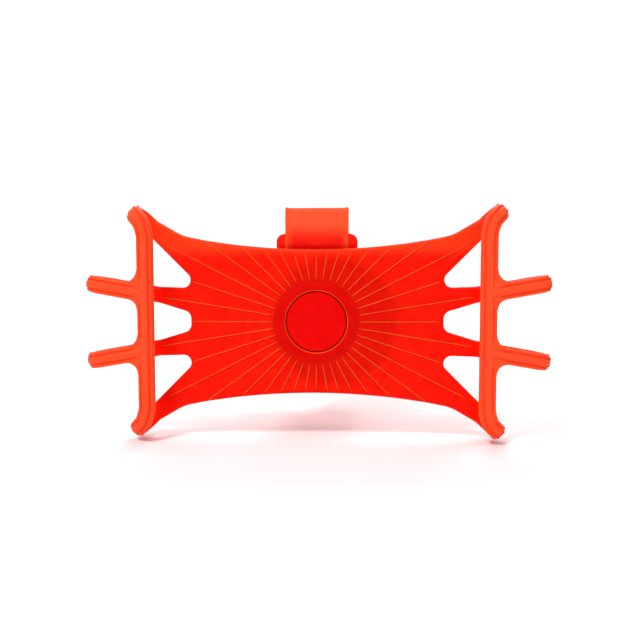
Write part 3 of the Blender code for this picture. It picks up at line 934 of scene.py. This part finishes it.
def saddle_line():
    """Middle line of the saddle: upper arm, step over the dish, pad, and the round under the bar."""
    pad = BAR.x - SADDLE_RADIUS
    line = fillet([(ARM_BACK, ARM_TOP, 0), (ARM_BACK, STEP_TOP, STEP_TOP_RADIUS),
                   (pad, STEP_FOOT, STEP_FOOT_RADIUS), (pad, BAR.y, 0)])[:-1]
    line += arc(BAR, SADDLE_RADIUS, 180.0, 360.0)
    return line + [(BAR.x + SADDLE_RADIUS, 8.6)]


def plug(radius, front, back, steps):
    """A cylinder about the swivel axis between two levels."""
    return turned([(0.0, front), (radius, front), (radius, back), (0.0, back)], steps)


def build_saddle(skin):
    """The saddle with rounded upper corners, its post, screw pocket and hook."""
    path, outs = side_route(saddle_line(), -1)
    section = band_section(SADDLE_WIDTH, -SADDLE_THICK / 2.0, SADDLE_THICK / 2.0 - 0.45, 1.0, 0.0, 0.6)
    body = swept_strip(path, outs, section, corner_losses(path, 2.4, True, False))
    root = BAR.x + SADDLE_RADIUS
    hook_outline = [(root, 8.05), (42.9, 8.05), (43.6, 7.6), (43.1, 6.6), (42.5, 6.6), (42.1, 6.8),
                    (root, 6.75)]
    hook = slab(hook_outline, HOOK_WIDTH, 0.0, SIDE_PLANE)
    gusset_outline = [(root, 8.5), (root + 1.9, 8.05), (root + 1.9, 6.75), (root, 6.0)]
    gusset = slab(gusset_outline, GUSSET_WIDTH, 0.0, SIDE_PLANE)
    post = plug(POST_RADIUS, POST_BACK, 10.8, 96)
    solid = mould(gather([body, hook, gusset, post]), *SADDLE_MOULD)
    mesh = cut(solid, [plug(SCREW_HOLE_RADIUS, 8.0, 12.0, 48), plug(POCKET_RADIUS, POCKET_BACK, 16.0, 64)])
    obj = finish_piece("moulded_saddle", mesh, [skin])
    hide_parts("handlebar_saddle")
    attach(obj, "base")


def build_liner(skin):
    """The soft liner with a raised rim and two rows of grip beads."""
    inward = SADDLE_THICK / 2.0 + LINER_GAP + LINER_THICK / 2.0
    pad = BAR.x - SADDLE_RADIUS + inward
    arm = ARM_BACK + inward
    line = fillet([(arm, 22.8, 0), (arm, STEP_TOP - 0.2, STEP_TOP_RADIUS - inward),
                   (pad, STEP_FOOT - 0.4, STEP_FOOT_RADIUS + inward), (pad, BAR.y, 0)])[:-1]
    line += arc(BAR, SADDLE_RADIUS - inward, 180.0, 360.0)
    line.append((BAR.x + SADDLE_RADIUS - inward, 5.5))
    path, outs = side_route(line, 1)
    low, high = -0.7, 0.72
    section = band_section(LINER_WIDTH, low, high, 1.1, 0.5, 0.3)
    shells = [swept_strip(path, outs, section, corner_losses(path, 2.0, True, True))]
    cross = band_section(LINER_WIDTH - 1.6, low + 0.1, high, 0.9, 0.0, 0.25)
    for stretch in (slice(0, 3), slice(-3, None)):
        shells.append(sweep(path[stretch], outs[stretch], [cross] * 3))
    steps = np.concatenate([[0.0], np.cumsum(np.linalg.norm(np.diff(path, axis=0), axis=1))])
    for at in np.arange(9.0, steps[-1] - 3.5, BEAD_PITCH):
        station = int(np.searchsorted(steps, at))
        place = path[station] + outs[station] * (high - 0.5)
        for side in (-BEAD_ROW, BEAD_ROW):
            bead = bmesh.new()
            bmesh.ops.create_icosphere(bead, subdivisions=2, radius=BEAD_RADIUS)
            bead.transform(Matrix.Translation((side, place[1], place[2])))
            shells.append(bead)
    mesh = mould(gather(shells), *LINER_MOULD)
    obj = finish_piece("ribbed_liner", mesh, [skin])
    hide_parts("saddle_liner")
    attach(obj, "base")


OUTER_FACE = ARM_BACK - SADDLE_THICK / 2.0   # front face of the saddle's arm and of the strap


def strap_bend_centre():
    """Centre of the strap's far bend."""
    slope = math.radians(STRAP_SLOPE)
    reach = STRAP_BEND_RADIUS + STRAP_THICK / 2.0
    up = STRAP_CORNER_UP - (STRAP_BEND_START - OUTER_FACE) * math.tan(slope)
    return Vector((STRAP_BEND_START - reach * math.sin(slope), up - reach * math.cos(slope)))


def bend_point(turn):
    """A point on the far bend's middle line, with the outward direction there."""
    outward = heading(90.0 - STRAP_SLOPE - turn)
    return strap_bend_centre() + outward * STRAP_BEND_RADIUS, outward


def stadium(length, height):
    """A slot's outline with round ends."""
    reach = (length - height) / 2.0
    return (arc((reach, 0.0), height / 2.0, -90.0, 90.0, step=10.0)
            + arc((-reach, 0.0), height / 2.0, 90.0, 270.0, step=10.0))


def slot_frame(centre, outward):
    """Matrix of a slot's plane: x across the strap, z outward."""
    normal = Vector((0.0, outward.x, outward.y))
    across = Vector((1.0, 0.0, 0.0))
    matrix = Matrix((across, normal.cross(across), normal)).transposed().to_4x4()
    return Matrix.Translation((0.0, centre.x, centre.y)) @ matrix


def slot_places():
    """Middle point and outward direction of each slot: the flat's, the bend's and the tail's."""
    slope = math.radians(STRAP_SLOPE)
    normal = heading(90.0 - STRAP_SLOPE)
    places = []
    for i in range(FLAT_SLOTS):
        back = FIRST_SLOT_BACK + i * SLOT_PITCH * math.cos(slope)
        surface = Vector((back, STRAP_CORNER_UP - (back - OUTER_FACE) * math.tan(slope)))
        places.append((surface - normal * (STRAP_THICK / 2.0), normal))
    places.append(bend_point(BEND_SLOT_TURN))
    fold, outward, down = fold_line()
    places.append((fold + down * TAIL_SLOT_DROP, outward))
    return places


def fold_line():
    """The tail's fold line, with the outward and downward directions there."""
    end, outward = bend_point(STRAP_BEND_TURN)
    down = Vector((outward.y, -outward.x))
    return end + down * FOLD_DROP, outward, down


def slot_rim(matrix):
    """A soft raised rim round a slot, on the strap's outer face."""
    loop = stadium(SLOT_LENGTH + SLOT_RIM, SLOT_HEIGHT + SLOT_RIM)
    flat = resample(loop + loop[:1], step=0.5)[:-1]
    level = STRAP_THICK / 2.0 - 0.12
    path = [tuple(matrix @ Vector((a, b, level))) for a, b in flat]
    outs = [tuple(matrix.to_3x3() @ Vector((0.0, 0.0, 1.0)))] * len(path)
    section = np.array([(-0.5, -0.3), (-0.42, 0.05), (-0.2, 0.24), (0.2, 0.24), (0.42, 0.05), (0.5, -0.3)])
    return sweep(path, outs, [section] * len(path), closed=True)


def build_strap(skin):
    """The slotted strap in one piece, from the saddle's arm over the far bend and past its fold line to the
    tail.
    """
    slope = math.radians(STRAP_SLOPE)
    level = OUTER_FACE + STRAP_THICK / 2.0
    corner_up = STRAP_CORNER_UP - STRAP_THICK / 2.0 * (math.tan(slope) + 1.0 / math.cos(slope))
    fold, _, down = fold_line()
    first = 90.0 - STRAP_SLOPE
    line = fillet([(level + 3.4, 18.1, 0), (level, STEP_TOP, 3.4), (level, corner_up, 0)])
    line += arc(strap_bend_centre(), STRAP_BEND_RADIUS, first, first - STRAP_BEND_TURN)
    line.append(tuple(fold + down * (TAIL_LENGTH - TAIL_INSET)))
    path, outs = side_route(line, 1, step=0.45)
    section = band_section(STRAP_WIDTH, -STRAP_THICK / 2.0, STRAP_THICK / 2.0 - 0.02, 0.75, 0.22, 0.45)
    band = swept_strip(path, outs, section, corner_losses(path, 1.6, False, True))
    frames = [slot_frame(centre, outward) for centre, outward in slot_places()]
    shells = [band] + [slot_rim(matrix) for matrix in frames]
    solid = mould(gather(shells), *STRAP_MOULD)
    mesh = cut(solid, [slab(stadium(SLOT_LENGTH, SLOT_HEIGHT), 5.5, 0.0, matrix) for matrix in frames])
    obj = finish_piece("slotted_strap", mesh, [skin])
    obj.data.set_sharp_from_angle(angle=SLOT_EDGE)
    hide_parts("strap_band", "strap_tail")
    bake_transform(obj)


def dress_inner_nodes(plastic_skin, steel_skin):
    """Finishes for the pieces inside the swivel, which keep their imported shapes."""
    for name, skin in (("swivel_spindle", plastic_skin), ("pivot_bush", plastic_skin),
                       ("spring_washer", steel_skin), ("screw_washer", steel_skin),
                       ("clamp_screw", steel_skin)):
        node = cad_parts[name]
        node.data.materials.clear()
        node.data.materials.append(skin)


# Studio.

def build_floor():
    """A pale floor that curves up into the backdrop."""
    level = cad_box[0].z
    radius, reach, depth, height, half_width = 0.25, 1.6, 1.1, 1.6, 2.5
    turns = np.linspace(0.0, math.pi / 2.0, 17)
    profile = [(-reach, 0.0)]
    profile += [(depth + radius * math.sin(t), radius * (1.0 - math.cos(t))) for t in turns]
    profile += [(depth + radius, height)]
    shape = bmesh.new()
    rows = [[shape.verts.new((x, y, level + z)) for y, z in profile] for x in (-half_width, half_width)]
    for i in range(len(profile) - 1):
        shape.faces.new((rows[0][i], rows[1][i], rows[1][i + 1], rows[0][i + 1]))
    mesh = bpy.data.meshes.new("floor")
    shape.to_mesh(mesh)
    shape.free()
    mesh.shade_smooth()
    material, tree, shader = new_material("pale_floor")
    tone = add_noise(tree, scale=3.0, detail=2.0)
    colour = add_ramp(tree, tone, [(0.3, (0.86, 0.86, 0.865)), (0.7, (0.9, 0.9, 0.9))])
    tree.links.new(colour, shader.inputs["Base Color"])
    shader.inputs["Roughness"].default_value = 0.8
    mesh.materials.append(material)
    floor = bpy.data.objects.new("floor", mesh)
    bpy.context.scene.collection.objects.link(floor)


def add_light(name, place, size, power, target=(0.0, 0.0, 0.0)):
    """A soft round light of so many metres and watts, itself unseen."""
    light = bpy.data.lights.new(name, "AREA")
    light.shape = "DISK"
    light.size = size
    light.energy = power
    obj = bpy.data.objects.new(name, light)
    obj.location = place
    obj.rotation_euler = (Vector(target) - Vector(place)).to_track_quat("-Z", "Y").to_euler()
    obj.visible_camera = False
    bpy.context.scene.collection.objects.link(obj)


def build_studio():
    """Soft light from above and both sides, and an even pale surround."""
    add_light("key", (-0.3, -0.4, 0.65), size=0.22, power=3.7)
    add_light("fill", (0.6, -0.5, 0.2), size=0.5, power=0.4)
    add_light("rear", (0.1, 0.6, 0.65), size=0.4, power=2.8)
    add_light("top", (-0.05, 0.05, 0.7), size=0.35, power=1.2)
    for side, label in ((-1, "left"), (1, "right")):
        add_light(f"backdrop_{label}", (side * 0.6, 0.55, 0.75), size=0.6, power=5.5,
                  target=(side * 0.5, 1.35, 0.15))
    world = bpy.data.worlds.new("surround")
    world.use_nodes = True
    background = world.node_tree.nodes["Background"]
    background.inputs["Color"].default_value = (0.97, 0.98, 1.0, 1.0)
    background.inputs["Strength"].default_value = 0.46
    bpy.context.scene.world = world
    bpy.context.scene.view_settings.view_transform = "Standard"


def build_camera():
    """The photograph's angle: nearly square to the web, from a little above and to the right."""
    azimuth, elevation, distance = 2.1, 3.1, 0.155
    target = TO_FRAME @ Vector((1.0, 0.0, 0.5))
    a, e = math.radians(azimuth), math.radians(elevation)
    back = Vector((math.sin(a) * math.cos(e), -math.cos(a) * math.cos(e), math.sin(e)))
    data = bpy.data.cameras.new("camera")
    data.lens = 32.3
    camera = bpy.data.objects.new("camera", data)
    camera.location = target + back * distance
    camera.rotation_euler = (-back).to_track_quat("-Z", "Y").to_euler()
    data.clip_start = 0.005
    bpy.context.scene.collection.objects.link(camera)
    bpy.context.scene.camera = camera


web_skin = silicone("web_silicone", (0.9, 0.005, 0.001), (1.0, 0.012, 0.001), 0.46, 0.06, paint_cradle_light_and_shade)
skin = silicone("red_silicone", (0.9, 0.008, 0.001), (1.0, 0.02, 0.002), 0.42, 0.15)
strap_skin = silicone("strap_silicone", (0.92, 0.006, 0.001), (1.0, 0.012, 0.002), 0.42, 0.15, paint_strap_light)
# Paler orange for the raised rays and the hub's rim: painted highlight.
ray_highlight_skin = silicone("ray_painted_highlight", (1.0, 0.075, 0.006), (1.0, 0.1, 0.009), 0.4, 0.15)
cap_skin = silicone("cap_silicone", (0.82, 0.001, 0.001), (0.92, 0.002, 0.001), 0.5, 0.05)
build_cradle(web_skin, ray_highlight_skin)
build_hub(web_skin, ray_highlight_skin)
build_swivel(cap_skin, skin)
build_saddle(skin)
build_liner(skin)
build_strap(strap_skin)
dress_inner_nodes(plastic(), zinc())
build_floor()
build_studio()
build_camera()
